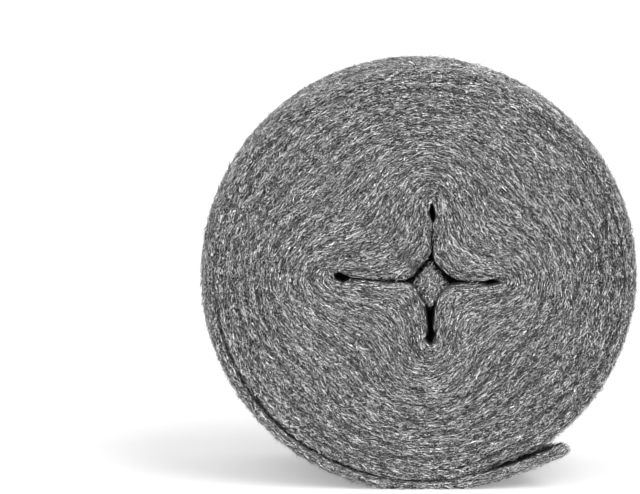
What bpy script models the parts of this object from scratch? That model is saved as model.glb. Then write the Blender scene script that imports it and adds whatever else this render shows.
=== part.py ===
"""Steel wool roll, standing on its rim.

One long strip of steel wool, wound round a flat former into a soft roll. The former left a star
shaped opening with four narrow arms. The turns follow its outline near the middle and grow round
towards the rim. The strip's outer end stands off as a short tail at the lower right, and its inner
end is folded across the opening.

Metres, +Z up. The roll's axis is Y, and its front end face looks along -Y. The floor is z = 0, and
x = 0, y = 0 is the middle of the roll.

The whole roll is a single solid: the strip is one piece, and its turns lie against each other.
The turns are drawn thicker than they are, so that each one can be seen.
"""

import bmesh
import bpy
from cmath import exp as cexp, sqrt as csqrt
from math import asinh, cos, cosh, exp, floor, pi, radians, sin, sinh, sqrt

# Roll
ROLL_WIDTH = 0.200          # left to right
ROLL_HEIGHT = 0.195         # floor to top; it has sagged a little under its own weight
STRIP_WIDTH = 0.081         # front end face to back end face
FLAT_SPOT = 0.050           # length of the end faces' edge that is pressed flat on the floor
TURNS = 11                  # turns drawn from the opening to the rim
OUTER_TURN = 0.0040         # thickness of the outermost turn
TURN_GROOVE = 0.0020        # depth of the groove between two turns, on each end face
RIM_BULGE = 0.0030          # how far the middle of the rim stands out past the end faces
RIM_ROUNDNESS = 4           # how late it curves in: 2 would be an even curve, more is flatter
RIM_EDGE = 0.0055           # from each end face, where the rim curves in the most
RIM_RIBS = 7                # soft ribs round the rim, where the strip's fibres lie in bundles
RIB_HEIGHT = 0.0008         # from the hollows between the ribs to their crests

# Star shaped opening
OPENING_X = 0.0055          # centre of the opening, from the middle of the roll
OPENING_Z = -0.0018
ARM_RIGHT = 0.0300          # length of each arm, from the centre of the opening
ARM_TOP = 0.0351
ARM_LEFT = 0.0439
ARM_BOTTOM = 0.0284
LEFT_RISE = 0.0028          # how far the left arm's tip lies above the centre of the opening
BOTTOM_SWAY = 0.0004        # how far the bottom arm's tip lies to the left of it
LOBE_REACH = 0.0077         # from the centre to each of the four lobes of wool between the arms
LOBE_SPREAD = 0.35          # how much blunter the lobes get over all the turns
RIM_SPREAD = 2.0            # and how much more they do over the outer ones, which are nearly round
RIM_ONSET = 8               # how late that sets in
OPENING_LIP = 0.0030        # how far the opening's edge is rolled in from the end face

# Inner end of the strip, folded across the opening
FOLD_SQUEEZE = 0.0014       # how far the furthest lobe presses into the fold
FOLD_RECESS = 0.0080        # from each end face to the fold
FOLD_ROUND = 0.0030         # rounding of the fold's edge

# Outer end of the strip, standing off as a tail
TAIL_START = -79.3          # degrees from +X, seen from the front, where the strip leaves the roll
TAIL_LENGTH = 0.0515        # free length, along its outer side, at the front
TAIL_SLANT = 0.0220         # how much shorter it is at the back: the strip is torn off at a slant
TAIL_THICKNESS = 0.0046
TAIL_THINS_OVER = 0.0120    # length over which it goes from its root's thickness to its own
TAIL_SPRING = 0.8           # degrees by which it turns away from the roll where it leaves
TAIL_FLATTER = 0.070        # how much wider its outer side curves than the roll
DENT = 0.0022               # how far the roll is pressed in where the tail lies beside it
DENT_AHEAD = 13.0           # degrees from where the tail leaves to the middle of that dent
DENT_SPREAD = 9.0           # degrees, from its middle to where it is a third as deep
DENT_TURNS = 4              # turns that the dent reaches in

# Wool
WOOL_COLOR = (0.19, 0.19, 0.19, 1.0)
WOOL_ROUGHNESS = 0.45
WOOL_METALLIC = 1.0

# Resolution
STATIONS = 96               # steps round the roll; a multiple of 16, so that each arm has its own
CROWDING = 0.45             # how much closer the steps are at the lobes than at the arms
TAIL_STEPS = 10
TAIL_TIP_STEPS = (35, 65)   # degrees round the rounded tip
ROUND_STEPS = 20            # sides of the fold
SHARP_ANGLE = 40            # degrees between two faces from which their edge is drawn sharp

HALF = STRIP_WIDTH / 2
OPENING_CENTRE = complex(OPENING_X, ROLL_HEIGHT / 2 + OPENING_Z)
RIB_STEP = (STRIP_WIDTH - 2 * RIM_EDGE) / (2 * RIM_RIBS - 2)
RIM_ROWS = 2 * RIM_RIBS - 1


def new_collection(name):
    made = bpy.data.collections.new(name)
    bpy.context.scene.collection.children.link(made)
    return made


def wool_material(name):
    made = bpy.data.materials.new(name)
    made.use_nodes = True
    surface = made.node_tree.nodes["Principled BSDF"]
    surface.inputs["Base Color"].default_value = WOOL_COLOR
    surface.inputs["Roughness"].default_value = WOOL_ROUGHNESS
    surface.inputs["Metallic"].default_value = WOOL_METALLIC
    return made


def mesh_object(name, bm, collection):
    bmesh.ops.recalc_face_normals(bm, faces=bm.faces)
    mesh = bpy.data.meshes.new(name)
    bm.to_mesh(mesh)
    bm.free()
    mesh.shade_smooth()
    mesh.set_sharp_from_angle(angle=radians(SHARP_ANGLE))
    made = bpy.data.objects.new(name, mesh)
    collection.objects.link(made)
    return made


# Outline of the turns, as points x + iz in the plane of the end face

def by_arm(angle, right, top, left, bottom):
    """A value that each arm has for itself, blended smoothly between the arms."""
    values = (right, top, left, bottom)
    quarter = angle / (pi / 2)
    arm = floor(quarter)
    share = (1 - cos(pi * (quarter - arm))) / 2
    return values[arm % 4] * (1 - share) + values[(arm + 1) % 4] * share


def opening_edge(angle, out=0.0):
    """The star: a closed curve that hugs a cross, wide between the lobes and narrow in the arms.

    For the turns further out its lobes are blunter.
    """
    mean_arm = (ARM_RIGHT + ARM_TOP + ARM_LEFT + ARM_BOTTOM) / 4
    spread = asinh((LOBE_REACH / mean_arm) ** 2) + LOBE_SPREAD * out + RIM_SPREAD * out ** RIM_ONSET
    unit = csqrt(complex(cosh(spread) * cos(2 * angle), sinh(spread) * sin(2 * angle)))
    unit /= sqrt(cosh(spread))
    if (unit * cexp(-1j * angle)).real < 0:
        unit = -unit
    arm = by_arm(angle, ARM_RIGHT, ARM_TOP, ARM_LEFT, ARM_BOTTOM)
    sway = by_arm(angle, 0.0, 0.0, -LEFT_RISE, -BOTTOM_SWAY)
    return OPENING_CENTRE + unit * arm + 1j * unit * abs(unit) * sway


def share_out(turn):
    """How far a turn lies from the opening (0) to the rim (1). Outer turns are thinner."""
    part = turn / TURNS
    span = ROLL_WIDTH / 2 - (ARM_RIGHT + ARM_LEFT) / 2
    slope = OUTER_TURN * TURNS / span
    return part + (1 - slope) * part * (1 - part)


def turn_at(angle):
    """Number of turns wound at an angle on the outermost one."""
    return TURNS - 1 + ((angle - radians(TAIL_START)) / (2 * pi)) % 1


def rim_axes():
    """Half axes and centre of the outermost outline, so that the roll has its width and height."""
    right, top, left = (share_out(turn_at(angle)) for angle in (0, pi / 2, pi))
    inner_right = opening_edge(0).real * (1 - right)
    inner_left = opening_edge(pi).real * (1 - left)
    inner_top = opening_edge(pi / 2).imag * (1 - top)
    free_width = ROLL_WIDTH - 2 * RIM_BULGE
    across = (free_width - inner_right + inner_left) / (right + left)
    middle = (free_width / 2 - inner_right) / right - across
    sink = FLAT_SPOT ** 2 / (4 * ROLL_WIDTH)
    upright = (ROLL_HEIGHT - RIM_BULGE + sink) / 2
    height = (ROLL_HEIGHT - RIM_BULGE - inner_top) / top - upright
    return across, upright, complex(middle, height)


ACROSS, UPRIGHT, RIM_CENTRE = rim_axes()


def dent(turn, angle):
    """How far the tail presses a turn in. The outermost turn is pressed on its inner side only."""
    aside = (angle - radians(TAIL_START + DENT_AHEAD) + pi) % (2 * pi) - pi
    depth = DENT * exp(-(aside / radians(DENT_SPREAD)) ** 2)
    short = TURNS - 1 - turn
    return depth * max(0.0, 1 + short if short < 0 else 1 - short / DENT_TURNS)


def turn_point(turn, angle, proud=0.0):
    """A point on a turn's outline, at an angle seen from the front."""
    out = share_out(turn)
    rim = RIM_CENTRE + complex(ACROSS * cos(angle), UPRIGHT * sin(angle))
    place = opening_edge(angle, out) * (1 - out) + rim * out
    return place + (proud - dent(turn, angle)) * cexp(1j * angle)


def station_angle(way):
    """Angle at a share of one turn from where the tail leaves, with the steps crowded at the lobes."""
    even = radians(TAIL_START)
    for _ in range(20):
        even = radians(TAIL_START) - CROWDING * sin(4 * even) / 4
    even += 2 * pi * way
    return even + CROWDING * sin(4 * even) / 4


# Solids

def section_row(row, way):
    """The roll's section, one row at a time: (turn, depth from the front, proud of the turn).

    It runs over the front end face from the opening to the rim, along the rim, and back over the
    back end face. Grooves and crests take turns, so each turn of the strip has two rows, and so has
    each rib of the rim.
    """
    last = 2 * TURNS
    if row <= last:
        return face_row(row, way)
    if row <= last + RIM_ROWS:
        return TURNS - 1 + way, *rim_row(row - last - 1)
    turn, depth, proud = face_row(2 * last + RIM_ROWS + 1 - row, way)
    return turn, STRIP_WIDTH - depth, proud


def rim_row(row):
    """Even rows are the ribs' crests, and odd ones the hollows between them."""
    depth = RIM_EDGE + row * RIB_STEP
    crown = RIM_BULGE * (1 - abs(1 - depth / HALF) ** RIM_ROUNDNESS)
    return depth, crown - RIB_HEIGHT * (row % 2)


def face_row(row, way):
    turn = max(0.0, row / 2 + way - 1)
    groove = TURN_GROOVE if row % 2 == 0 else 0.0
    lip = max(0.0, 1 - 2 * turn)
    return turn, groove * (1 - lip) + OPENING_LIP * lip, 0.0


def wound_strip(collection):
    """The turns, as one grid that is wound into a spiral and closed."""
    rows = 2 * (2 * TURNS + 1) + RIM_ROWS
    bm = bmesh.new()
    bmesh.ops.create_grid(bm, x_segments=STATIONS, y_segments=rows, size=0.5)
    for vert in bm.verts:
        way = vert.co.x + 0.5
        row = round((vert.co.y + 0.5) * rows) % rows
        turn, depth, proud = section_row(row, way)
        point = turn_point(turn, station_angle(way), proud)
        vert.co = (point.real, depth - HALF, max(point.imag, 0.0))
    add_tail(bm)
    bmesh.ops.remove_doubles(bm, verts=bm.verts, dist=0.00001)
    bmesh.ops.holes_fill(bm, edges=[e for e in bm.edges if e.is_boundary], sides=0)
    return mesh_object("steel_wool_roll", bm, collection)


def tail_section():
    """The outermost turn's section as a closed ring: (inner 0 to outer 1, depth, proud)."""
    last = 2 * TURNS
    ring = [section_row(row, 1.0) for row in range(last - 2, last + RIM_ROWS + 4)]
    ring += [section_row(row, 0.0) for row in range(last + RIM_ROWS, last, -1)]
    return [(turn - (TURNS - 1), depth, proud) for turn, depth, proud in ring]


def tail_length(depth):
    """Free length of the tail at a depth behind the front end face."""
    return TAIL_LENGTH - TAIL_SLANT * (1 - (1 - depth / STRIP_WIDTH) ** 2)


def add_tail(bm):
    """The free end carries on from the outermost turn's section and ends in a rounded tip."""
    ring = tail_section()
    steps = TAIL_STEPS + len(TAIL_TIP_STEPS)
    start = station_angle(1.0)
    root = turn_point(TURNS, start)
    root_thickness = abs(root - turn_point(TURNS - 1, start))
    curve = ROLL_WIDTH / 2 + TAIL_FLATTER
    slope = 1j * cexp(1j * (start - radians(TAIL_SPRING)))
    centre = root + 1j * slope * curve
    made = bmesh.ops.create_grid(bm, x_segments=steps, y_segments=len(ring), size=0.5)
    for vert in made["verts"]:
        step = round((vert.co.x + 0.5) * steps)
        across, depth, proud = ring[round((vert.co.y + 0.5) * len(ring)) % len(ring)]
        if step == 0:
            point = turn_point(TURNS - 1 + across, start, proud)
        else:
            way = min(step / TAIL_STEPS, 1.0)
            along = way * tail_length(depth)
            thins = max(0.0, 1 - along / TAIL_THINS_OVER) ** 2
            thickness = TAIL_THICKNESS + (root_thickness - TAIL_THICKNESS) * thins
            inset = (1 - across) * thickness - proud
            if step > TAIL_STEPS:
                tip = radians(TAIL_TIP_STEPS[step - TAIL_STEPS - 1])
                inset = thickness / 2 + (inset - thickness / 2) * cos(tip)
                along += thickness / 2 * sin(tip)
                depth += (HALF - depth) / HALF * thickness / 2 * (1 - cos(tip))
            outward = -1j * slope * cexp(1j * along / curve)
            point = centre + outward * (curve - inset)
        vert.co = (point.real, depth - HALF, max(point.imag, 0.0))


def fold(collection):
    """The inner end, folded up across the opening and held between the lobes."""
    lobes = [opening_edge(pi / 4 + k * pi / 2) for k in range(4)]
    radius = max(abs(lobe - OPENING_CENTRE) for lobe in lobes) + FOLD_SQUEEZE
    bm = bmesh.new()
    bmesh.ops.create_cone(bm, cap_ends=True, segments=ROUND_STEPS, radius1=radius,
                          radius2=radius, depth=STRIP_WIDTH - 2 * FOLD_RECESS)
    made = mesh_object("fold", bm, collection)
    made.rotation_euler = (pi / 2, 0.0, 0.0)
    made.location = (OPENING_CENTRE.real, 0.0, OPENING_CENTRE.imag)
    made.hide_render = True
    made.display_type = "WIRE"
    rounded = made.modifiers.new("rounded", "BEVEL")
    rounded.width = FOLD_ROUND
    rounded.segments = 2
    rounded.limit_method = "ANGLE"
    rounded.angle_limit = radians(60)
    return made


def main():
    for thing in list(bpy.data.objects):
        bpy.data.objects.remove(thing, do_unlink=True)
    parts = new_collection("steel wool roll")
    cutters = new_collection("cutters")
    cutters.hide_render = True
    roll = wound_strip(parts)
    roll.data.materials.append(wool_material("steel wool"))
    inner_end = fold(cutters)
    union = roll.modifiers.new("folded inner end", "BOOLEAN")
    union.operation = "UNION"
    union.solver = "EXACT"
    union.object = inner_end


main()
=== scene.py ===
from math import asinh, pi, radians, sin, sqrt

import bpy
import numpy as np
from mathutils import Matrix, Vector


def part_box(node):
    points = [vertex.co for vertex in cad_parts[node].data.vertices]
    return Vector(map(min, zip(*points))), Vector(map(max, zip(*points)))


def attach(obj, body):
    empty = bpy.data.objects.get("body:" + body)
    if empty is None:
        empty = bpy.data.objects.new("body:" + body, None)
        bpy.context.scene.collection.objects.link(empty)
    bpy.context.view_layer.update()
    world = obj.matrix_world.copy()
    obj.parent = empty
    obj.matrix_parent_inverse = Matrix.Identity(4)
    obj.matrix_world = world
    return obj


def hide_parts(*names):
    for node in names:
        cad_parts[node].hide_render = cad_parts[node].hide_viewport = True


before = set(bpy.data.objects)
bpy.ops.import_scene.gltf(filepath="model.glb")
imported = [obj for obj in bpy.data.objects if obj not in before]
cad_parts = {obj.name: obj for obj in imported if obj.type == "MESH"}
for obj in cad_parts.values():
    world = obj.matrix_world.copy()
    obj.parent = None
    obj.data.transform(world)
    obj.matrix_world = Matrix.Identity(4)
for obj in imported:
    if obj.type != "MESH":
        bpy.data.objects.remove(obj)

# Steel wool roll, standing on its rim: its looks.
#
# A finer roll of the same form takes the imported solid's place, and thousands of strands of wool are laid
# on it, along the turns. Metres, +Z up. The roll's axis is Y and its front end face looks along -Y.

bpy.ops.object.select_all(action="DESELECT")
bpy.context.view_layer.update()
ROLL_NODE = "steel_wool_roll"
LOWEST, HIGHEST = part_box(ROLL_NODE)

# Roll, as the part's source has it
ROLL_WIDTH = HIGHEST.x - LOWEST.x
ROLL_HEIGHT = HIGHEST.z - LOWEST.z
STRIP_WIDTH = HIGHEST.y - LOWEST.y
HALF = STRIP_WIDTH / 2
FLAT_SPOT = 0.050
TURNS = 11                  # turns that the solid shows
OUTER_TURN = 0.0040
TURN_GROOVE = 0.0020
RIM_BULGE = 0.0030
RIM_ROUNDNESS = 4
RIM_EDGE = 0.0055
RIM_RIBS = 7
RIB_HEIGHT = 0.0008

# Star shaped opening, as the part's source has it
OPENING_CENTRE = complex(0.0055, ROLL_HEIGHT / 2 - 0.0018)
ARMS = (0.0300, 0.0351, 0.0439, 0.0284)     # right, top, left, bottom
ARM_SWAY = (0.0, 0.0, -0.0028, -0.0004)
LOBE_REACH = 0.0077
LOBE_SPREAD = 0.35
RIM_SPREAD = 2.0
RIM_ONSET = 8
OPENING_LIP = 0.0030

# Tail, as the part's source has it
TAIL_START = radians(-79.3)
TAIL_LENGTH = 0.0515
TAIL_SLANT = 0.0220
TAIL_THICKNESS = 0.0046
TAIL_THINS_OVER = 0.0120
TAIL_SPRING = radians(0.8)
TAIL_FLATTER = 0.070
DENT = 0.0022
DENT_AHEAD = radians(13.0)
DENT_SPREAD = radians(9.0)
DENT_TURNS = 4

# Finer shape of the tail: its torn end is fluffed up a little, to the inner side
TAIL_FLUFF = 0.03
TAIL_FLUFF_OVER = 0.0150

# Finer shape of the opening: soft wool closes its arms, and leaves a hollow at each tip
PINCH = (0.82, 0.86, 0.84, 0.0)             # right, top, left, bottom
PINCH_FROM = (0.0040, 0.0140)               # from the centre of the opening
TIP_HOLLOW = (0.9, 1.0, 3.0, 2.4)
HOLLOW_FROM = (0.78, 0.78, 0.88, 0.72)      # share of the arm
PINCH_REACH = 0.10
OPENING_DEPTH = 0.0140                      # from where the soft wool closes the opening behind
CLOSING_FROM = 0.45                         # share of that depth at which its walls begin to draw in
CLOSED_SHARE = 0.97

# Inner end of the strip, folded into a wad between the lobes
WAD_WIDTH = 0.0185
WAD_HEIGHT = 0.0250
WAD_PLACE = complex(-0.0006, -0.0016)       # from the centre of the opening
WAD_POWER = 0.92                            # 1 is a plain lozenge, and less draws its sides in
WAD_BLUNT = 0.85                            # share of its height at which its corners are cut off
WAD_SLANT = radians(52)                     # the way that its fibres run
WAD_RECESS = 0.0022
WAD_DOME = 0.0048
WAD_LUMPS = 0.0006
WAD_SWELL = 0.45                            # how much thicker the bar is behind its ends

# Finer shape of the wool
NAP = 0.0007                # how deep the top strands are bedded in the wound body
FINE_TURNS = 4              # real turns of the strip in each turn that the solid shows
FINE_GROOVE = 0.0004
HOLLOW = 0.0006             # how far the end faces wander in and out
FRONT_SEED = 3              # each end face has its own unevenness
BACK_SEED = 5

# Gap where the outermost turn stands off from the roll
PARTING = 0.0022            # depth
PARTING_WIDTH = 0.09        # in turns
PARTING_LEFT = (radians(240), radians(48))      # its middle and how far it spreads
PARTING_RIGHT = (radians(14), radians(14))
ROOT_GAP_WIDTH = 0.12       # in turns, where the gap carries on under the root of the tail
ROOT_GAP_ENDS = (0.06, 0.12)                    # share of one turn, from where the tail leaves

# Painted shade: how much of the light is lost between the fibres, painted into the wool's colour
WALL_SHADE_DEPTH = (0.001, 0.006)               # where it begins in the opening and where it is full
LIP_SHADE = 0.35
PARTING_SHADE = 0.9
GROOVE_SHADE = 0.15

# Fineness of the wound body
ROUND_STEPS = 288           # steps round the roll
CROWDING = 0.45             # how much closer the steps are at the lobes than at the arms
TURN_STEPS = 8              # steps over each turn: two for each real one
RIM_STEPS = 24              # steps across the rim
WALL_STEPS = 6              # steps through the opening
TAIL_STEPS = 48
TIP_STEPS = 6
WAD_STEPS = 48
WAD_RINGS = 28
MERGE_DISTANCE = 0.00002

# Strands. Real ones are 0.05 to 0.09 mm thick, too fine to show, so each stands for a few of them.
STRAND_WIDTH = (0.00017, 0.00029)
WAD_STRAND_WIDTH = (0.00022, 0.00038)
TONES = 64                  # different greys of strand
TONE_SPREAD = (0.45, 0.5)   # of a beta distribution: most strands are rather dark or rather bright
STRAND_ROLL = 0.7           # radians, about a strand's own length
BEDDED = (-NAP, 0.0003)     # height over the surface, from deep in the nap to just over it
STRAY_SHARE = 0.17          # of the strands cross the flow
STRAY_SWING = 2.3
LOOSE_SHARE = 0.10          # of the strands have an end that stands off
LONGEST_FUZZ = 0.0024       # how far it stands off
SHARP_BEND = 0.00030        # strands that bend or stretch more than this are made shorter
SHARP_STRETCH = 0.00025
EASY_BEND = 0.00022         # the bend that their new length aims at
SHORTENED = (0.4, 0.8)
WORST_BEND = 0.00055        # strands that still bend or stretch more than this are left out
WORST_STRETCH = 0.00040

# Number and length of the strands
FRONT_STRANDS = 49000       # in each of two layers
FRONT_STRAND_LENGTHS = {"a": (0.0022, 0.0068), "b": (0.0014, 0.0042)}
BACK_STRANDS = 40000
BACK_STRAND_LENGTHS = (0.002, 0.0075)
RIM_STRANDS = 29000         # in each of two layers
RIM_STRAND_LENGTHS = (0.003, 0.0085)
TAIL_STRAND_LENGTHS = (0.002, 0.007)
TORN_LAYERS = 7
TORN_STRANDS = 260          # in each of these layers
TORN_STRAND_LENGTHS = (0.0018, 0.0050)
TORN_REACH = 0.0018         # how far past the tail's end their middles lie
WAD_STRANDS = 1800          # on each end of the wad
WAD_STRAND_LENGTHS = (0.0018, 0.0048)
WAD_COVERED = 0.90          # share of the wad's reach that they are laid on
TRIES = 60000               # places drawn at a time

# Every strand is drawn from this, in the same order each time.
rng = np.random.default_rng(11)


# Camera and light

def linear(code):
    """The linear colour of an sRGB hex code."""
    parts = [int(code[i:i + 2], 16) / 255 for i in (1, 3, 5)]
    return (*[p / 12.92 if p <= 0.04045 else ((p + 0.055) / 1.055) ** 2.4 for p in parts], 1.0)


def add_node(tree, kind, links=None, **settings):
    """Adds a node. Settings are its properties, or inputs by name; links say what feeds an input."""
    node = tree.nodes.new(kind)
    for name, value in settings.items():
        if hasattr(node, name):
            setattr(node, name, value)
        else:
            node.inputs[name.replace("_", " ")].default_value = value
    for name, source in (links or {}).items():
        tree.links.new(source, node.inputs[name])
    return node


PHOTO_WIDTH = 640
LENS_PIXELS = 2400          # focal length in the photograph's pixels
CAMERA_DISTANCE = 1.0744    # to the front end face
CAMERA_SIDE = -0.0452
CAMERA_HEIGHT = 0.252
CAMERA_PITCH = radians(7.42)


def add_camera():
    """A long lens in front of the roll, a little above it."""
    data = bpy.data.cameras.new("camera")
    data.sensor_width = 36
    data.lens = LENS_PIXELS * data.sensor_width / PHOTO_WIDTH
    camera = bpy.data.objects.new("camera", data)
    bpy.context.scene.collection.objects.link(camera)
    camera.location = (CAMERA_SIDE, -HALF - CAMERA_DISTANCE, CAMERA_HEIGHT)
    camera.rotation_euler = (pi / 2 - CAMERA_PITCH, 0, 0)
    bpy.context.scene.camera = camera


def add_sun(name, source, softness, strength):
    """A wide, soft lamp far away in the direction of source."""
    data = bpy.data.lights.new(name, "SUN")
    data.angle = radians(softness)
    data.energy = strength
    lamp = bpy.data.objects.new(name, data)
    bpy.context.scene.collection.objects.link(lamp)
    lamp.rotation_euler = Vector(source).to_track_quat("Z", "Y").to_euler()


def add_light():
    """Two wide lamps and an even surround, which shows as white."""
    add_sun("key light", (0.65, -0.55, 1.0), 40, 1.3)
    add_sun("fill light", (-0.5, -1.0, 0.6), 70, 0.7)
    world = bpy.data.worlds.new("studio")
    bpy.context.scene.world = world
    world.use_nodes = True
    tree = world.node_tree
    tree.nodes.clear()
    path = add_node(tree, "ShaderNodeLightPath")
    seen = add_node(tree, "ShaderNodeMath", {0: path.outputs["Is Camera Ray"],
                                             1: path.outputs["Is Glossy Ray"]}, operation="ADD")
    shown = add_node(tree, "ShaderNodeMath", {0: seen.outputs[0],
                                              1: path.outputs["Is Transmission Ray"]},
                     operation="ADD", use_clamp=True)
    lit = add_node(tree, "ShaderNodeBackground", Color=linear("#FFFFFF"), Strength=0.55)
    white = add_node(tree, "ShaderNodeBackground", Color=linear("#FFFFFF"), Strength=1.0)
    mixed = add_node(tree, "ShaderNodeMixShader",
                     {0: shown.outputs[0], 1: lit.outputs[0], 2: white.outputs[0]})
    add_node(tree, "ShaderNodeOutputWorld", {"Surface": mixed.outputs[0]})


def add_floor():
    """The ground that the roll stands on, as part of the stage."""
    bpy.ops.mesh.primitive_plane_add(size=60, location=(0, 0, 0))
    floor = bpy.context.object
    floor.name = "floor"
    floor.data.materials.append(paper_material())


# Materials

STREAK_LENGTH = 0.0035
STREAK_WIDTH = 0.00035
# Painted glints along the strands
GLINT_LENGTH = 0.0005
GLINT_STRENGTH = 3.9
GLINT_OFFSET = -1.98        # takes the pattern's middle back to about none


def new_material(name):
    """A new material and its empty node tree."""
    made = bpy.data.materials.new(name)
    made.use_nodes = True
    made.node_tree.nodes.clear()
    return made, made.node_tree


def paper_material():
    """Matt white card under the roll. It is lit white, and keeps the roll's soft shadow."""
    made, tree = new_material("matt white card")
    coords = add_node(tree, "ShaderNodeTexCoord")
    grain = add_node(tree, "ShaderNodeTexNoise", {"Vector": coords.outputs["Object"]}, Scale=900.0)
    bump = add_node(tree, "ShaderNodeBump", {"Height": grain.outputs[0]}, Strength=0.05, Distance=0.0001)
    card = add_node(tree, "ShaderNodeBsdfDiffuse", {"Normal": bump.outputs[0]}, Color=linear("#FAFAFA"))
    path = add_node(tree, "ShaderNodeLightPath")
    glow = add_node(tree, "ShaderNodeEmission", {"Strength": path.outputs["Is Camera Ray"]},
                    Color=linear("#959595"))
    both = add_node(tree, "ShaderNodeAddShader", {0: card.outputs[0], 1: glow.outputs[0]})
    add_node(tree, "ShaderNodeOutputMaterial", {"Surface": both.outputs[0]})
    return made


def wound_wool_material():
    """Mild steel wool, shaved and wound: the mass of fibres under the top ones, darker as painted shade.

    Fine bright streaks along the turns, crossed at a slant by others, with dark gaps between them.
    """
    made, tree = new_material("wound steel wool")
    flow = add_node(tree, "ShaderNodeUVMap", uv_map="flow")
    # Each streak stands for several fibres together: one fibre is too fine to show.
    layers = []
    for slant in (-0.20, 0.16):
        turned = add_node(tree, "ShaderNodeMapping", {"Vector": flow.outputs[0]}, Rotation=(0, 0, slant))
        stretched = add_node(tree, "ShaderNodeMapping", {"Vector": turned.outputs[0]},
                             Scale=(1 / STREAK_LENGTH, 1 / STREAK_WIDTH, 1))
        layers.append(add_node(tree, "ShaderNodeTexNoise", {"Vector": stretched.outputs[0]},
                               Scale=1.0, Detail=2.0, Roughness=0.55))
    streaks = add_node(tree, "ShaderNodeMath", {0: layers[0].outputs[0], 1: layers[1].outputs[0]},
                       operation="MAXIMUM")
    # Painted shade: this ramp stays darker than the strands' one, for the mass deep under them.
    tint = add_node(tree, "ShaderNodeValToRGB", {0: streaks.outputs[0]})
    tint.color_ramp.elements[0].position = 0.46
    tint.color_ramp.elements[0].color = linear("#0E0E0E")
    tint.color_ramp.elements[1].position = 0.68
    tint.color_ramp.elements[1].color = linear("#9C9C9C")
    shade = add_node(tree, "ShaderNodeAttribute", attribute_name="shade")
    # Painted shade: where the shade attribute says light is lost, the bright streaks go and an even grey
    # is left.
    painted_shade_mix = add_node(tree, "ShaderNodeMix", {0: shade.outputs["Fac"], 6: tint.outputs[0]},
                      data_type="RGBA")
    painted_shade_mix.inputs[7].default_value = linear("#5A5A5A")
    bump = add_node(tree, "ShaderNodeBump", {"Height": streaks.outputs[0]}, Strength=0.7, Distance=0.0006)
    steel = add_node(tree, "ShaderNodeBsdfPrincipled",
                     {"Base Color": painted_shade_mix.outputs[2], "Normal": bump.outputs[0]},
                     Metallic=1.0, Roughness=0.5)
    add_node(tree, "ShaderNodeOutputMaterial", {"Surface": steel.outputs[0]})
    return made


def strand_material():
    """Mild steel shavings: bare bright steel where a fibre is fresh, greyer where it is dulled."""
    made, tree = new_material("steel shavings")
    tone = add_node(tree, "ShaderNodeAttribute", attribute_name="tone")
    # Painted glints, where a fibre turns to the light. Real ones are shorter, too fine to show.
    coords = add_node(tree, "ShaderNodeTexCoord")
    painted_glints = add_node(tree, "ShaderNodeTexNoise", {"Vector": coords.outputs["Object"]},
                      Scale=1 / GLINT_LENGTH, Detail=1.0)
    spread = add_node(tree, "ShaderNodeMath", {0: painted_glints.outputs[0]}, operation="MULTIPLY_ADD")
    spread.inputs[1].default_value = GLINT_STRENGTH
    spread.inputs[2].default_value = GLINT_OFFSET
    broken = add_node(tree, "ShaderNodeMath", {0: tone.outputs["Fac"], 1: spread.outputs[0]},
                      operation="ADD")
    tint = add_node(tree, "ShaderNodeValToRGB", {0: broken.outputs[0]})
    tint.color_ramp.elements[0].color = linear("#0A0A0A")
    tint.color_ramp.elements[1].color = linear("#FFFFFF")
    middle = tint.color_ramp.elements.new(0.5)
    middle.color = linear("#B8B8B8")
    steel = add_node(tree, "ShaderNodeBsdfPrincipled", {"Base Color": tint.outputs[0]},
                     Metallic=1.0, Roughness=0.45)
    add_node(tree, "ShaderNodeOutputMaterial", {"Surface": steel.outputs[0]})
    return made


# Outline of the turns, as points x + iz in the plane of the end face, as the part's source has it

def by_arm(angle, values):
    """A value that each arm has for itself, blended smoothly between the arms."""
    quarter = angle / (pi / 2)
    arm = np.floor(quarter).astype(int)
    share = (1 - np.cos(pi * (quarter - arm))) / 2
    values = np.array(values)
    return values[arm % 4] * (1 - share) + values[(arm + 1) % 4] * share


def smooth(low, high, value):
    """0 below low, 1 above high, and a soft step between them."""
    share = np.clip((value - low) / (high - low), 0, 1)
    return share * share * (3 - 2 * share)


def pinched(star, out):
    """Draws the sides of each arm together past the middle, and widens its tip to a hollow."""
    x, y = star.real, star.imag
    level = np.abs(x) >= np.abs(y)
    arm = np.where(level, np.where(x > 0, 0, 2), np.where(y > 0, 1, 3))
    reach = np.where(level, np.abs(x), np.abs(y))
    closed = np.array(PINCH)[arm] * smooth(*PINCH_FROM, reach * np.array(ARMS)[arm])
    start = np.array(HOLLOW_FROM)[arm]
    closed = closed * (1 - smooth(start - 0.06, start + 0.06, reach))
    hollow = np.array(TIP_HOLLOW)[arm] * smooth(start, (1 + start) / 2, reach)
    width = 1 + (hollow - closed) * np.exp(-(out / PINCH_REACH) ** 2)
    return np.where(level, x + 1j * y * width, x * width + 1j * y)


def opening_edge(angle, out=0.0):
    """The star: a closed curve that hugs a cross. Its lobes are blunter further out."""
    spread = asinh((LOBE_REACH / (sum(ARMS) / 4)) ** 2) + LOBE_SPREAD * out + RIM_SPREAD * out ** RIM_ONSET
    star = np.sqrt(np.cosh(spread) * np.cos(2 * angle) + 1j * np.sinh(spread) * np.sin(2 * angle))
    star = star / np.sqrt(np.cosh(spread))
    star = pinched(np.where((star * np.exp(-1j * angle)).real < 0, -star, star), out)
    sway = by_arm(angle, ARM_SWAY)
    return OPENING_CENTRE + star * by_arm(angle, ARMS) + 1j * star * np.abs(star) * sway


def share_out(turn):
    """How far a turn lies from the opening (0) to the rim (1). Outer turns are thinner."""
    part = turn / TURNS
    span = ROLL_WIDTH / 2 - (ARMS[0] + ARMS[2]) / 2
    slope = OUTER_TURN * TURNS / span
    return part + (1 - slope) * part * (1 - part)


def way_round(angle):
    """Share of one turn from where the tail leaves to an angle."""
    return ((angle - TAIL_START) / (2 * pi)) % 1


def way_turned(angle):
    """The same, but it reaches 1 where that turn ends."""
    return (angle - TAIL_START) / (2 * pi)


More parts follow.
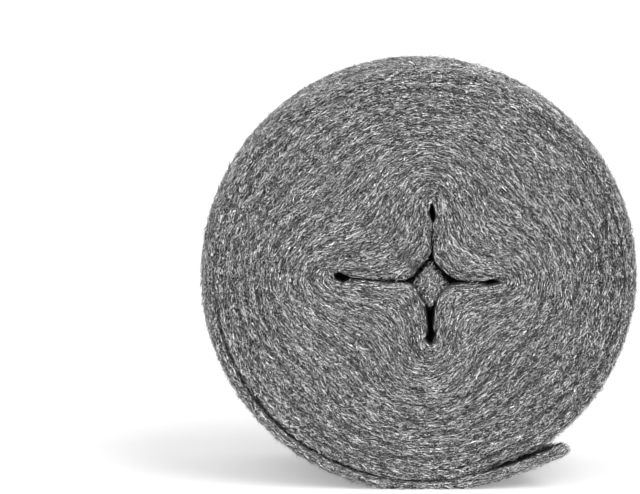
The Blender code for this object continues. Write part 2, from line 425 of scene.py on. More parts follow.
def angle_between(angle, other):
    """How far an angle is past another one, from half a turn behind to half a turn ahead."""
    return (angle - other + pi) % (2 * pi) - pi


def rim_axes():
    """Half axes and centre of the outermost outline, so that the roll has its width and height."""
    angles = np.array((0, pi / 2, pi))
    shares = share_out(TURNS - 1 + way_round(angles))
    inner = opening_edge(angles) * (1 - shares)
    free_width = ROLL_WIDTH - 2 * RIM_BULGE
    across = (free_width - inner[0].real + inner[2].real) / (shares[0] + shares[2])
    middle = (free_width / 2 - inner[0].real) / shares[0] - across
    sink = FLAT_SPOT ** 2 / (4 * ROLL_WIDTH)
    upright = (ROLL_HEIGHT - RIM_BULGE + sink) / 2
    height = (ROLL_HEIGHT - RIM_BULGE - inner[1].imag) / shares[1] - upright
    return across, upright, complex(middle, height)


ACROSS, UPRIGHT, RIM_CENTRE = rim_axes()


def dent(turn, angle):
    """How far the tail presses a turn in. The outermost turn is pressed on its inner side only."""
    aside = angle_between(angle, TAIL_START + DENT_AHEAD)
    depth = DENT * np.exp(-(aside / DENT_SPREAD) ** 2)
    short = TURNS - 1 - turn
    return depth * np.maximum(0.0, np.where(short < 0, 1 + short, 1 - short / DENT_TURNS))


def turn_point(turn, angle, proud=0.0):
    """A point on a turn's outline, at an angle seen from the front."""
    out = share_out(turn)
    edge = RIM_CENTRE + ACROSS * np.cos(angle) + 1j * UPRIGHT * np.sin(angle)
    place = opening_edge(angle, out) * (1 - out) + edge * out
    return place + (proud - dent(turn, angle)) * np.exp(1j * angle)


# Relief of the wool

def patches(along, across, cells, seed):
    """Smooth random values from -1 to 1. The pattern closes on itself after along has grown by 1."""
    lattice = np.random.default_rng(seed).uniform(-1, 1, (cells, 64))
    place = (along % 1) * cells
    first, row = np.floor(place).astype(int), np.floor(across).astype(int)
    share, rise = place - first, across - row
    share, rise = share * share * (3 - 2 * share), rise * rise * (3 - 2 * rise)
    near = lattice[first % cells, row % 64] * (1 - share) + lattice[(first + 1) % cells, row % 64] * share
    far = (lattice[first % cells, (row + 1) % 64] * (1 - share)
           + lattice[(first + 1) % cells, (row + 1) % 64] * share)
    return near * (1 - rise) + far * rise


def groove_at(turn, angle):
    """1 in the groove between two of the solid's turns, 0 on the crest between two grooves."""
    return np.abs(np.cos(pi * (turn - way_round(angle)))) ** 4


def fine_groove_at(turn, angle, seed):
    """The same for the real turns, which are not quite even, and show in some places only."""
    uneven = 0.5 * patches(way_round(angle), turn * 1.5, 24, seed)
    strength = np.clip(0.5 + 0.8 * patches(way_round(angle), turn * 2.3, 16, seed + 2), 0, 1)
    return strength * np.abs(np.cos(pi * (FINE_TURNS * (turn - way_round(angle)) + uneven))) ** 2


def near_angle(angle, middle, spread):
    """1 near an angle, and 0 away from it."""
    return np.exp(-((angle_between(angle, middle) / spread) ** 4))


def parting_at(turn, angle):
    """1 where the outermost turn gapes from the roll: at the lower left, and a little on the right.

    The gap carries on between the roll and the root of the tail.
    """
    inward = TURNS - 1 + way_round(angle) - 1 - turn
    gap = np.exp(-(inward / PARTING_WIDTH) ** 2)
    under_root = 1 - smooth(*ROOT_GAP_ENDS, way_round(angle))
    root = np.exp(-((inward + 1) / ROOT_GAP_WIDTH) ** 2) * under_root
    left = near_angle(angle, *PARTING_LEFT)
    right = near_angle(angle, *PARTING_RIGHT)
    return np.maximum(np.maximum(gap * left, 0.5 * gap ** 3 * right), root)


def face_depth(turn, angle, seed):
    """How far an end face lies behind its flat plane."""
    lip = np.clip(1 - 2 * turn, 0, 1) ** 2
    wander = HOLLOW * (0.5 + 0.5 * patches(way_round(angle), turn * 1.3, 9, seed + 1))
    fine = FINE_GROOVE * fine_groove_at(turn, angle, seed)
    groove = (0.34 + 0.28 * patches(way_round(angle), turn, 12, seed + 3)) * TURN_GROOVE
    body = groove * groove_at(turn, angle) + fine + wander
    body = body + PARTING * parting_at(turn, angle) * (seed == FRONT_SEED)
    return body * (1 - lip) + OPENING_LIP * lip


def point_at(flat, y):
    """Points from the outline's plane and a depth. The floor presses the lowest ones flat."""
    return np.stack(np.broadcast_arrays(flat.real, y, np.maximum(flat.imag, 0.0)), axis=-1)


def front_face(angle, turn):
    """A point on the front end face."""
    return point_at(turn_point(turn, angle), face_depth(turn, angle, FRONT_SEED) - HALF)


def back_face(angle, turn):
    """A point on the back end face."""
    return point_at(turn_point(turn, angle), HALF - face_depth(turn, angle, BACK_SEED))


def rim_proud(y):
    """How far the rim stands out past the end faces: a crown with soft ribs."""
    crown = RIM_BULGE * (1 - np.clip(np.abs(y) / HALF, 0, 1) ** RIM_ROUNDNESS)
    rib = (HALF - np.abs(y) - RIM_EDGE) / (STRIP_WIDTH - 2 * RIM_EDGE) * (RIM_RIBS - 1)
    hollow = (1 - np.cos(2 * pi * rib)) / 2 * (rib > 0)
    return crown - RIB_HEIGHT * hollow


def rim(angle, y):
    """A point on the rim."""
    return point_at(turn_point(TURNS - 1 + way_round(angle), angle, rim_proud(y)), y)


# Wound body

def finish_shape(piece):
    """Merges the seams and turns the faces outwards, in edit mode."""
    bpy.ops.object.select_all(action="DESELECT")
    piece.select_set(True)
    bpy.context.view_layer.objects.active = piece
    bpy.ops.object.mode_set(mode="EDIT")
    bpy.ops.mesh.select_all(action="SELECT")
    bpy.ops.mesh.remove_doubles(threshold=MERGE_DISTANCE)
    bpy.ops.mesh.select_all(action="DESELECT")
    bpy.ops.mesh.select_non_manifold(extend=False, use_multi_face=False, use_non_contiguous=False,
                                     use_verts=False)
    bpy.ops.mesh.fill_holes(sides=0)
    bpy.ops.mesh.select_all(action="SELECT")
    bpy.ops.mesh.normals_make_consistent(inside=False)
    bpy.ops.object.mode_set(mode="OBJECT")
    bpy.ops.object.shade_smooth()
    bpy.ops.object.select_all(action="DESELECT")


def grid_piece(name, columns, rows):
    """A plain grid and each of its points' column and row."""
    bpy.ops.mesh.primitive_grid_add(x_subdivisions=columns, y_subdivisions=rows, size=1)
    piece = bpy.context.object
    piece.name = name
    points = np.empty(len(piece.data.vertices) * 3)
    piece.data.vertices.foreach_get("co", points)
    points = points.reshape(-1, 3)
    column = np.rint((points[:, 0] + 0.5) * columns).astype(int)
    row = np.rint((points[:, 1] + 0.5) * rows).astype(int)
    return piece, column, row


def set_points(piece, points):
    """Moves a piece's points to their places."""
    piece.data.vertices.foreach_set("co", points.ravel())
    piece.data.update()


def set_flow(piece, along, across):
    """The UV map that the streaks follow: metres along the turns and across them."""
    corners = np.empty(len(piece.data.loops), dtype=int)
    piece.data.loops.foreach_get("vertex_index", corners)
    layer = piece.data.uv_layers.active
    layer.name = "flow"
    layer.uv.foreach_set("vector", np.stack([along[corners], across[corners]], axis=-1).ravel())


def run_length(points, column, row):
    """How far along its row each point of a grid lies, in metres."""
    order = np.lexsort((column, row))
    lines = points[order].reshape(row.max() + 1, -1, 3)
    steps = np.linalg.norm(np.diff(lines, axis=1), axis=-1)
    run = np.concatenate([np.zeros((len(lines), 1)), np.cumsum(steps, axis=1)], axis=1)
    found = np.empty(len(points))
    found[order] = run.ravel()
    return found


def station_angle(way):
    """Angle at a share of one turn from where the tail leaves, with the steps crowded at the lobes."""
    even = TAIL_START
    for _ in range(20):
        even = TAIL_START - CROWDING * sin(4 * even) / 4
    even = even + 2 * pi * way
    return even + CROWDING * np.sin(4 * even) / 4


def section(row, way):
    """The roll's section, one row at a time: turn, y and how far it is proud of the turn."""
    face = TURNS * TURN_STEPS
    angle = station_angle(way)
    back = face + RIM_STEPS
    turn_row = np.where(row <= face, row, np.clip(back + face - row, 0, face))
    turn = np.maximum(0.0, turn_row / TURN_STEPS + (way_turned(angle) - 1))
    front_y = face_depth(turn, angle, FRONT_SEED) + NAP - HALF
    back_y = HALF - NAP - face_depth(turn, angle, BACK_SEED)
    across = np.clip((row - face) / RIM_STEPS, 0, 1)
    on_rim = (row > face) & (row < back)
    # More steps near the two edges, where the rim curves in.
    rim_y = front_y + (back_y - front_y) * (1 - np.cos(pi * across)) / 2
    y = np.where(on_rim, rim_y, np.where(row <= face, front_y, back_y))
    wall = np.clip((row - back - face) / WALL_STEPS, 0, 1)
    y = y + (front_y - back_y) * wall_share(wall) * (row > back + face)
    return turn, y, np.where(on_rim, rim_proud(rim_y), 0.0) - NAP * (turn > TURNS - 1)


def wall_share(step):
    """The opening's rows: most of them are near its two mouths."""
    return np.interp(step, (0, 0.17, 0.34, 0.66, 0.83, 1), (0, 0.06, 0.19, 0.81, 0.94, 1))


def closed_behind(flat, y):
    """Draws the opening's walls together where they lie deep behind both mouths."""
    away = flat - OPENING_CENTRE
    level = np.abs(away.real) >= np.abs(away.imag)
    deep = smooth(OPENING_DEPTH * CLOSING_FROM, OPENING_DEPTH, HALF - np.abs(y))
    left = 1 - CLOSED_SHARE * deep
    drawn = np.where(level, away.real + 1j * away.imag * left, away.real * left + 1j * away.imag)
    return OPENING_CENTRE + drawn


def wound_body():
    """The turns, as one grid wound into a spiral, with the tail, closed."""
    rows = 2 * TURNS * TURN_STEPS + RIM_STEPS + WALL_STEPS
    body, column, row = grid_piece("wound_wool", ROUND_STEPS, rows)
    way = column / ROUND_STEPS
    turn, y, proud = section(row, way)
    flat = turn_point(turn, station_angle(way), proud)
    flat = np.where(row > rows - WALL_STEPS, closed_behind(flat, y), flat)
    points = point_at(flat, y)
    set_points(body, points)
    # Painted shade, which the wool's material reads to grey out its bright streaks
    shade = body.data.attributes.new("shade", "FLOAT", "POINT")
    shade.data.foreach_set("value", painted_buried_shade(turn, station_angle(way), y, row > rows - WALL_STEPS))
    face, across = ROLL_WIDTH / 2 * share_out(turn), y + HALF
    flow_across = np.where(proud > 0, ROLL_WIDTH / 2 + across, face + 2 * ROLL_WIDTH * (y > 0))
    flow_across = np.where(row > rows - WALL_STEPS, -across, flow_across)
    set_flow(body, run_length(points, column, row), flow_across)
    tail = tail_body()
    bpy.ops.object.select_all(action="DESELECT")
    tail.select_set(True)
    body.select_set(True)
    bpy.context.view_layer.objects.active = body
    bpy.ops.object.join()
    finish_shape(body)
    return body


def painted_buried_shade(turn, angle, y, on_wall):
    """Painted shade: how much light is lost between the fibres, most in the opening and in the partings.
    """
    depth = HALF - np.abs(y)
    lip = LIP_SHADE * np.clip(1 - 5 * turn, 0, 1)
    opening = np.where(on_wall, smooth(*WALL_SHADE_DEPTH, depth), lip)
    parting = PARTING_SHADE * (parting_at(turn, angle) * (y < 0))
    groove = GROOVE_SHADE * groove_at(turn, angle) * (turn < TURNS - 1)
    return np.clip(opening + parting + groove, 0, 1)


TAIL_ROOT = complex(turn_point(np.array(float(TURNS)), np.array(TAIL_START)))
TAIL_ROOT_THICKNESS = float(np.abs(TAIL_ROOT - turn_point(np.array(TURNS - 1.0), np.array(TAIL_START))))
TAIL_CURVE = ROLL_WIDTH / 2 + TAIL_FLATTER
TAIL_SLOPE = 1j * np.exp(1j * (TAIL_START - TAIL_SPRING))
TAIL_CENTRE = TAIL_ROOT + 1j * TAIL_SLOPE * TAIL_CURVE


def tail_length(y):
    """Free length of the tail at a depth. The strip is torn off at a slant."""
    return TAIL_LENGTH - TAIL_SLANT * (1 - (0.5 - y / STRIP_WIDTH) ** 2)


def tail_point(along, across, y, proud=0.0):
    """A point of the tail, from where it leaves (0) to its end, and from inner (0) to outer side (1)."""
    length = tail_length(y)
    along = np.minimum(along, TAIL_LENGTH) * length / TAIL_LENGTH + np.maximum(along - TAIL_LENGTH, 0)
    thins = np.clip(1 - along / TAIL_THINS_OVER, 0, 1) ** 2
    thickness = TAIL_THICKNESS + (TAIL_ROOT_THICKNESS - TAIL_THICKNESS) * thins
    past = np.clip((along - length) / (thickness / 2), 0, 1)
    fluffed = thickness * (1 + TAIL_FLUFF * smooth(-TAIL_FLUFF_OVER, 0, along - length))
    inset = (1 - across) * fluffed - proud
    inset = fluffed / 2 + (inset - fluffed / 2) * np.sqrt(1 - past ** 2)
    outward = -1j * TAIL_SLOPE * np.exp(1j * along / TAIL_CURVE)
    return TAIL_CENTRE + outward * (TAIL_CURVE - inset)


def tail_body():
    """The strip's free end, which carries on from the outermost turn's section."""
    first = (TURNS - 1) * TURN_STEPS
    face = TURNS * TURN_STEPS
    outer_rows = list(range(first, face + RIM_STEPS + TURN_STEPS + 1))
    inner_rows = list(range(face + RIM_STEPS - 1, face, -1))
    ring_turn, ring_y, ring_proud = [], [], []
    for rows, way in ((outer_rows, 1.0), (inner_rows, 0.0)):
        turn, y, proud = section(np.array(rows), np.full(len(rows), way))
        ring_turn.append(turn - (TURNS - 1))
        ring_y.append(y)
        ring_proud.append(proud)
    ring_turn, ring_y, ring_proud = (np.concatenate(x) for x in (ring_turn, ring_y, ring_proud))
    count = len(ring_turn)
    steps = TAIL_STEPS + TIP_STEPS
    tail, step, place = grid_piece("tail", steps, count)
    row, place = place, place % count
    round_tip = np.sin(np.clip((step - TAIL_STEPS) / TIP_STEPS, 0, 1) * radians(84))
    along = np.minimum(step / TAIL_STEPS, 1) * TAIL_LENGTH + round_tip * TAIL_THICKNESS / 2
    flat = tail_point(along, ring_turn[place], ring_y[place], ring_proud[place])
    root = turn_point(TURNS - 1 + ring_turn[place], np.full(len(place), TAIL_START + 2 * pi),
                      ring_proud[place])
    flat = np.where(step == 0, root, flat)
    y = ring_y[place] * (1 - (1 - np.sqrt(1 - round_tip ** 2)) * TAIL_THICKNESS / 2 / HALF)
    set_points(tail, point_at(flat, y))
    set_flow(tail, along, row * STRIP_WIDTH * 2 / count)
    return tail


# Inner end, folded into a wad

WAD_CENTRE = OPENING_CENTRE + WAD_PLACE


def wad_reach(angle):
    """The wad's outline: a soft lozenge, higher than wide."""
    wide = (np.abs(np.cos(angle)) / (WAD_WIDTH / 2)) ** WAD_POWER
    high = (np.abs(np.sin(angle)) / (WAD_HEIGHT / 2)) ** WAD_POWER
    return np.minimum((wide + high) ** (-1 / WAD_POWER), WAD_BLUNT * WAD_HEIGHT / 2)


def wad_plane(along, across):
    """From distances along the wad's fibres and across them to the plane of the end face."""
    return (along + 1j * across) * np.exp(1j * WAD_SLANT)


def wad_depth(along, across):
    """How far the wad's domed, lumpy end lies behind the end face."""
    flat = wad_plane(along, across)
    share = np.clip(np.abs(flat) / wad_reach(np.angle(flat)), 0, 1)
    lumps = WAD_LUMPS * patches(0.5 + 20 * along, 200 * across + 9, 7, 8)
    return WAD_RECESS + WAD_DOME * share ** 2.5 + lumps


def wad_front(along, across):
    """A point on the wad's front end."""
    return point_at(WAD_CENTRE + wad_plane(along, across), wad_depth(along, across) - HALF)


def wad_back(along, across):
    """A point on its back end, the front one's mirror image."""
    return wad_front(along, across) * (1, -1, 1)


def wad_body():
    """The folded inner end: a soft bar through the opening, with a domed end on either side."""
    bpy.ops.mesh.primitive_uv_sphere_add(segments=WAD_STEPS, ring_count=WAD_RINGS, radius=1)
    wad = bpy.context.object
    wad.name = "folded_inner_end"
    points = np.array([v.co for v in wad.data.vertices])
    angle = np.arctan2(points[:, 1], points[:, 0])
    ring = np.arccos(np.clip(points[:, 2], -1, 1)) / pi
    # The first and last quarters of the rings are the domed ends, and the rest is the bar's side.
    share = np.clip(np.minimum(ring, 1 - ring) * 4, 0, 1)
    flat = share * wad_reach(angle) * np.exp(1j * angle)
    run = flat * np.exp(-1j * WAD_SLANT)
    dome = wad_depth(run.real, run.imag)
    side = np.clip((ring - 0.25) * 2, 0, 1)
    y = np.where(ring < 0.5, dome - HALF, HALF - dome) * np.abs(1 - 2 * side)
    swell = 1 + WAD_SWELL * np.sin(pi * side) ** 0.5
    set_points(wad, point_at(WAD_CENTRE + flat * swell, y))
    set_flow(wad, run.real + 0.3 * y, run.imag)
    finish_shape(wad)
    return wad


# Strands

def strand_shape():
    """One strand, modelled once: a sliver of four faces with a point at each end.

    Returns its points and its triangles. Its tips lie at -1 and 1 along Z.
    """
    bpy.ops.mesh.primitive_cone_add(vertices=3, radius1=1, radius2=0, depth=2, end_fill_type="NGON")
    strand = bpy.context.object
    low = [v.index for v in strand.data.vertices if v.co.z < 0]
    low.sort(key=lambda index: strand.data.vertices[index].co.x)
    tip = max(low, key=lambda index: strand.data.vertices[index].co.y)
    left, right = [index for index in low if index != tip]
    bpy.ops.object.mode_set(mode="EDIT")
    for index, move in ((tip, (0, -1, 0)), (left, (0, 0.5, 1.4)), (right, (0, 0.5, 0.6))):
        bpy.ops.mesh.select_all(action="DESELECT")
        bpy.ops.object.mode_set(mode="OBJECT")
        strand.data.vertices[index].select = True
        bpy.ops.object.mode_set(mode="EDIT")
        bpy.ops.transform.translate(value=move)
    bpy.ops.object.mode_set(mode="OBJECT")
    points = np.array([v.co for v in strand.data.vertices])
    faces = np.array([f.vertices for f in strand.data.polygons])
    bpy.data.objects.remove(strand, do_unlink=True)
    return points, faces


STRAND_POINTS, STRAND_FACES = strand_shape()
STATIONS = (-1.0, -0.4, 0.4, 1.0)       # where its points lie, from tip to tip


def unit(vectors):
    """The same directions with a length of 1."""
    return vectors / np.maximum(np.linalg.norm(vectors, axis=-1, keepdims=True), 1e-12)


def slopes(surface, u, v):
    """The surface's directions along u and v, in metres for each unit of them."""
    step = 1e-4
    along = (surface(u + step, v) - surface(u - step, v)) / (2 * step)
    across = (surface(u, v + step) - surface(u, v - step)) / (2 * step)
    return along, across


def scatter(surface, u_range, v_range, count, density=None):
    """Even random places on a surface, as u and v, fewer where density is below 1.

    Areas are set against nearly the largest one, so that a few sharp spots don't thin out the rest.
    """
    u_found, v_found = [], []
    found = 0
    while found < count:
        u = rng.uniform(*u_range, TRIES)
        v = rng.uniform(*v_range, TRIES)
        along, across = slopes(surface, u, v)
        area = np.linalg.norm(np.cross(along, across), axis=-1)
        if density:
            area = area * density(u, v)
        kept = rng.uniform(0, np.quantile(area, 0.9998), TRIES) < area
        u_found.append(u[kept])
        v_found.append(v[kept])
        found += kept.sum()
    return np.concatenate(u_found)[:count], np.concatenate(v_found)[:count]


def strand_paths(surface, side_out, u, v, length, swing, lift, tilt, crimp, steps=3):
    """Four points along each strand, from tip to tip, which follow the surface, and its normals.

    Swing turns a strand away from the surface's u direction, lift is its height over the surface,
    tilt the height that it gains from end to end, and crimp how far it wriggles. side_out is 1 where
    the surface's u and v make a normal that points out of the wool, and otherwise -1. Each part of a
    path is found in a number of steps.
    """
    def compass(u, v):
        """The surface's normal, the direction across its flow, and the way on as steps of u and v."""
        along, across = slopes(surface, u, v)
        normal = side_out * unit(np.cross(along, across))
        flow = unit(along)
        side = np.cross(normal, flow)
        heading = flow * np.cos(swing)[:, None] + side * np.sin(swing)[:, None]
        uu, uv, vv = (np.sum(a * b, axis=-1)
                      for a, b in ((along, along), (along, across), (across, across)))
        hu, hv = np.sum(heading * along, axis=-1), np.sum(heading * across, axis=-1)
        lost = np.maximum(uu * vv - uv * uv, 1e-18)
        return normal, side, (hu * vv - hv * uv) / lost, (hv * uu - hu * uv) / lost

    wriggle = rng.normal(0, 1, (len(STATIONS), len(u), 2)) * crimp
    paths = [None] * len(STATIONS)
    middle = compass(u, v)
    for onward, stations in ((-1, (1, 0)), (1, (2, 3))):
        here_u, here_v, reached = u, v, 0.0
        normal, side, du, dv = middle
        for station in stations:
            share = STATIONS[station]
            for _ in range(steps):
                step = onward * (abs(share) - reached) / steps * length / 2
                here_u, here_v = here_u + du * step, here_v + dv * step
                normal, side, du, dv = compass(here_u, here_v)
            reached = abs(share)
            rise = lift + tilt * share + wriggle[station, :, 0] * 0.6
            aside = side * wriggle[station, :, 1][:, None]
            paths[station] = surface(here_u, here_v) + normal * rise[:, None] + aside
    return np.stack(paths, axis=1), middle[0]


def strand_points(paths, normal, width):
    """The points of all strands: the one strand's points, bent along each path."""
    count = len(paths)
    roll = rng.normal(0, STRAND_ROLL, count)
    station = np.abs(STRAND_POINTS[:, 2][:, None] - np.array(STATIONS)[None]).argmin(axis=1)
    heading = unit(paths[:, 3] - paths[:, 0])
    side = unit(np.cross(normal, heading))
    up = np.cross(heading, side)
    angle = np.arctan2(STRAND_POINTS[:, 1], STRAND_POINTS[:, 0])
    radius = np.hypot(STRAND_POINTS[:, 0], STRAND_POINTS[:, 1])
    turned = angle[None, :] + roll[:, None]
    across = np.cos(turned) * radius * width[:, None] / 2
    rise = np.sin(turned) * radius * width[:, None] / 2
    return paths[:, station] + side[:, None] * across[..., None] + up[:, None] * rise[..., None]


def strand_piece(name, parts, material):
    """One piece made of all the strands in parts, each given as points and tones."""
    points = np.concatenate([p for p, _ in parts])
    tones = np.concatenate([t for _, t in parts])
    tones = np.clip(np.floor(tones * TONES), 0, TONES - 1).astype(int)
    points[..., 2] = np.maximum(points[..., 2], 0.0001)
    count, corners = points.shape[:2]
    faces = (STRAND_FACES[None] + (np.arange(count) * corners)[:, None, None]).reshape(-1, 3)
    mesh = bpy.data.meshes.new(name)
    mesh.vertices.add(count * corners)
    mesh.vertices.foreach_set("co", points.ravel())
    mesh.loops.add(len(faces) * 3)
    mesh.loops.foreach_set("vertex_index", faces.ravel())
    mesh.polygons.add(len(faces))
    mesh.polygons.foreach_set("loop_start", np.arange(len(faces)) * 3)
    mesh.update(calc_edges=True)
    mesh.shade_flat()
    tone = mesh.attributes.new("tone", "FLOAT", "POINT")
    tone.data.foreach_set("value", np.repeat((tones + 0.5) / TONES, corners))
    # Strands of one grey share one small square of the map, because they look the same all over.
    side = int(sqrt(TONES))
    cell = np.stack([tones % side, tones // side], axis=-1)
    spot = np.array([(0.2, 0.2), (0.8, 0.2), (0.5, 0.8)])
    map_points = (cell[:, None, None] + spot[None, None]) / side
    map_points = np.broadcast_to(map_points, (count, len(STRAND_FACES), 3, 2))
    layer = mesh.uv_layers.new(name="OFBake")
    layer.uv.foreach_set("vector", np.ascontiguousarray(map_points).ravel())
    mesh.materials.append(material)
    piece = bpy.data.objects.new(name, mesh)
    bpy.context.scene.collection.objects.link(piece)
    return piece


def skew(low, high, power, count):
    """Random values from low to high, mostly near low if power is above 1."""
    return low + (high - low) * rng.uniform(0, 1, count) ** power


def opening_sides():
    """Both sides of each arm of the opening, turned so that the arm points along +X."""
    sides = []
    for arm in range(4):
        angle = np.linspace(-pi / 4, pi / 4, 241) + arm * pi / 2
        edge = (opening_edge(angle) - OPENING_CENTRE) * np.exp(-0.5j * pi * arm)
        sides.append((edge[:121], edge[240:119:-1]))
    return sides


OPENING_SIDES = opening_sides()


OVER_EDGE = 0.0002          # how far fibres may reach over the opening's edge
CLEAR_OF_TIP = 0.0009       # how far they are held back at the tips of its arms
TIP_FROM = (0.80, 0.94)     # share of the arm


def in_opening(points):
    """Whether points lie in the star. A few wool fibres reach over its edge, but not at its tips."""
    found = np.zeros(points.shape[:-1], dtype=bool)
    away = points[..., 0] + 1j * points[..., 2] - OPENING_CENTRE
    for arm, (low, high) in enumerate(OPENING_SIDES):
        turned = away * np.exp(-0.5j * pi * arm)
        margin = CLEAR_OF_TIP * smooth(*TIP_FROM, turned.real / ARMS[arm]) - OVER_EDGE
        above = turned.imag > np.interp(turned.real, low.real, low.imag) - margin
        below = turned.imag < np.interp(turned.real, high.real, high.imag) + margin
        found |= above & below & (turned.real > 0) & (turned.real < ARMS[arm] + margin)
    return found


def bend(paths):
    """How far a strand's path leaves the straight line between its tips."""
    chord = unit(paths[:, 3] - paths[:, 0])[:, None]
    away = paths[:, 1:3] - paths[:, :1]
    away = away - np.sum(away * chord, axis=-1, keepdims=True) * chord
    return np.linalg.norm(away, axis=-1).max(axis=1)


def stretch(paths, lengths, tilts):
    """How much longer than meant the most stretched part of a strand's path is."""
    meant = np.diff(STATIONS)[None] * np.hypot(lengths / 2, tilts)[:, None]
    return (np.linalg.norm(np.diff(paths, axis=1), axis=-1) - 1.15 * meant).max(axis=1)


def wool_on(surface, side_out, places, length, swing, lift, tilt=0.0005, stand_off=2.6, crimp=0.00010,
            tone=0.0, width=STRAND_WIDTH, clear_of_opening=False, disorder=None):
    """Strands on a surface, at places, as points and tones.

    Stand_off multiplies the tilt of the loose ones, and disorder the swing.
    """
    u, v = places
    count = len(u)
    astray = np.where(rng.uniform(0, 1, count) < STRAY_SHARE, STRAY_SWING, 1.0)
    turned = rng.normal(0, swing, count) * astray
    if disorder:
        turned = turned * disorder(u, v)
    lengths = skew(*length, 1.5, count)
    loose = np.where(rng.uniform(0, 1, count) < LOOSE_SHARE, stand_off, 1.0)
    lifts = skew(*lift, 2.0, count)
    tilts = np.clip(rng.normal(0, tilt, count) * loose, -LONGEST_FUZZ, LONGEST_FUZZ)
    paths, normal = strand_paths(surface, side_out, u, v, lengths, turned, lifts, tilts, crimp)
    # Where the wool bends sharply, the strands are shorter.
    sharp = (bend(paths) > SHARP_BEND) | (stretch(paths, lengths, tilts) > SHARP_STRETCH)
    lengths[sharp] *= np.clip(np.sqrt(EASY_BEND / bend(paths[sharp])), *SHORTENED)
    paths[sharp] = strand_paths(surface, side_out, u[sharp], v[sharp], lengths[sharp], turned[sharp],
                                lifts[sharp], tilts[sharp], crimp, steps=12)[0]
    tones = np.clip(rng.beta(*TONE_SPREAD, count) + tone, 0, 1)
    points = strand_points(paths, normal, rng.uniform(*width, count))
    kept = (bend(paths) < WORST_BEND) & (stretch(paths, lengths, tilts) < WORST_STRETCH)
    if clear_of_opening:
        kept &= ~in_opening(points).any(axis=1)
    return points[kept], tones[kept]


def on_roll(angle, turn):
    """Whether a place is on the wound turns: clear of the opening, and not past the outermost one."""
    return (turn < TURNS - 1 + way_round(angle)) & (turn > 0.04)


def face_density(seed):
    """How closely the strands lie on an end face: fewer in the grooves and in the partings."""
    def density(angle, turn):
        groove = 0.4 * groove_at(turn, angle) + 0.25 * fine_groove_at(turn, angle, seed)
        if seed == FRONT_SEED:
            groove = groove + parting_at(turn, angle)
        return on_roll(angle, turn) * np.clip(1.15 - groove, 0.05, 1)
    return density


def face_disorder(angle, turn):
    """The strands keep to the flow round the opening, and are more tangled at the left and right."""
    return 1 + 1.2 * smooth(0.30, 0.75, share_out(turn)) * np.cos(angle) ** 2


FULL_TURN = (TAIL_START, TAIL_START + 2 * pi)
ACROSS_STRIP = (-HALF + 0.0005, HALF - 0.0005)
LAYERS = ("a", "b")


def front_strands(material, layer):
    """One of the layers of strands on the front end face."""
    places = scatter(front_face, FULL_TURN, (0.0, TURNS), FRONT_STRANDS, face_density(FRONT_SEED))
    strands = wool_on(front_face, -1, places, FRONT_STRAND_LENGTHS[layer], radians(11), BEDDED,
                      clear_of_opening=True, disorder=face_disorder)
    return strand_piece("front_face_wool_%s" % layer, [strands], material)


def back_strands(material):
    """The strands on the back end face."""
    places = scatter(back_face, FULL_TURN, (0.0, TURNS), BACK_STRANDS, face_density(BACK_SEED))
    strands = wool_on(back_face, 1, places, BACK_STRAND_LENGTHS, radians(12), BEDDED,
                      clear_of_opening=True, disorder=face_disorder)
    return strand_piece("back_face_wool", [strands], material)


def rim_strands(material, layer):
    """One of the layers of strands on the rim, which is more ruffled and a little darker, as painted
    shade.
    """
    places = scatter(rim, FULL_TURN, ACROSS_STRIP, RIM_STRANDS)
    strands = wool_on(rim, -1, places, RIM_STRAND_LENGTHS, radians(13), BEDDED, tilt=0.0008,
                      stand_off=3.6, tone=-0.10)
    return strand_piece("rim_wool_%s" % layer, [strands], material)


TAIL_FACE_INSET = 0.0003


def tail_front(along, across):
    """A point on the tail's front edge."""
    return point_at(tail_point(along, across, -HALF), -HALF + TAIL_FACE_INSET + 0 * across)


def tail_back(along, across):
    """A point on the tail's back edge."""
    return point_at(tail_point(along, across, HALF), HALF - TAIL_FACE_INSET + 0 * across)


def tail_outer(along, y):
    """A point on the tail's outer side, which carries on from the rim."""
    return point_at(tail_point(along, 1.0, y, rim_proud(y)), y)


def tail_inner(along, y):
    """A point on the tail's inner side, which faces the roll."""
    return point_at(tail_point(along, 0.0, y, rim_proud(y)), y)


def torn_layer(share):
    """A layer in the tail, at a share of its thickness, that runs straight on past its end."""
    def layer(along, y):
        flat = tail_point(np.minimum(along, TAIL_LENGTH), share, y)
        onward = TAIL_SLOPE * np.exp(1j * tail_length(y) / TAIL_CURVE)
        return point_at(flat + onward * np.maximum(along - TAIL_LENGTH, 0), y)
    return layer


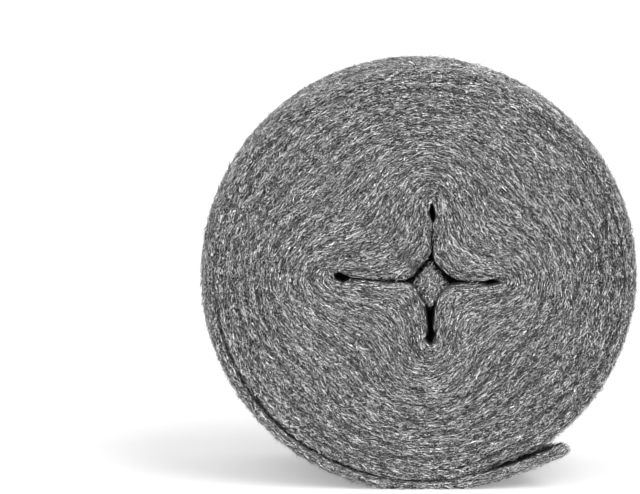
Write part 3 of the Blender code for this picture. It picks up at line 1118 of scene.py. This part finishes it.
def tail_strands(material):
    """Strands on all sides of the free end, and torn ones that stick out of its tip."""
    free = (0.0, TAIL_LENGTH + 0.0012)
    past_end = (TAIL_LENGTH, TAIL_LENGTH + TORN_REACH)
    sides = ((tail_front, -1, (0, 1), 900), (tail_back, 1, (0, 1), 700),
             (tail_outer, -1, ACROSS_STRIP, 5200), (tail_inner, 1, ACROSS_STRIP, 3900))
    parts = []
    for surface, side_out, v_range, count in sides:
        places = scatter(surface, free, v_range, count)
        parts.append(wool_on(surface, side_out, places, TAIL_STRAND_LENGTHS, radians(14), BEDDED,
                             stand_off=3.2))
    for share in np.linspace(0.1, 0.9, TORN_LAYERS):
        layer = torn_layer(share)
        places = scatter(layer, past_end, ACROSS_STRIP, TORN_STRANDS)
        parts.append(wool_on(layer, -1, places, TORN_STRAND_LENGTHS, radians(28), (-0.0005, 0.0005)))
    return strand_piece("tail_wool", parts, material)


def wad_strands(material):
    """Strands on both ends of the folded inner end, along its slant and across it."""
    def inside(along, across):
        """1 where the wad's end is, 0 past its outline."""
        flat = wad_plane(along, across)
        return (np.abs(flat) < wad_reach(np.angle(flat)) * WAD_COVERED).astype(float)

    reach = (-WAD_HEIGHT / 2, WAD_HEIGHT / 2)
    parts = []
    for surface, side_out in ((wad_front, -1), (wad_back, 1)):
        places = scatter(surface, reach, reach, WAD_STRANDS, inside)
        # Painted light: the wad's strands are made brighter, against the shade of the opening round it.
        parts.append(wool_on(surface, side_out, places, WAD_STRAND_LENGTHS, radians(26), (0.0, 0.0005),
                             tone=0.25, width=WAD_STRAND_WIDTH))
    return strand_piece("inner_end_wool", parts, material)


def main():
    """Sets the stage and makes every piece."""
    add_camera()
    add_light()
    add_floor()
    wool = wound_wool_material()
    shavings = strand_material()
    body = wound_body()
    wad = wad_body()
    for solid in (body, wad):
        solid.data.materials.clear()
        solid.data.materials.append(wool)
    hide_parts(ROLL_NODE)
    pieces = [body, wad]
    pieces += [front_strands(shavings, layer) for layer in LAYERS]
    pieces += [back_strands(shavings)]
    pieces += [rim_strands(shavings, layer) for layer in LAYERS]
    pieces += [tail_strands(shavings), wad_strands(shavings)]
    for piece in pieces:
        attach(piece, "root")


main()
bpy.context.scene.view_settings.view_transform = "Standard"
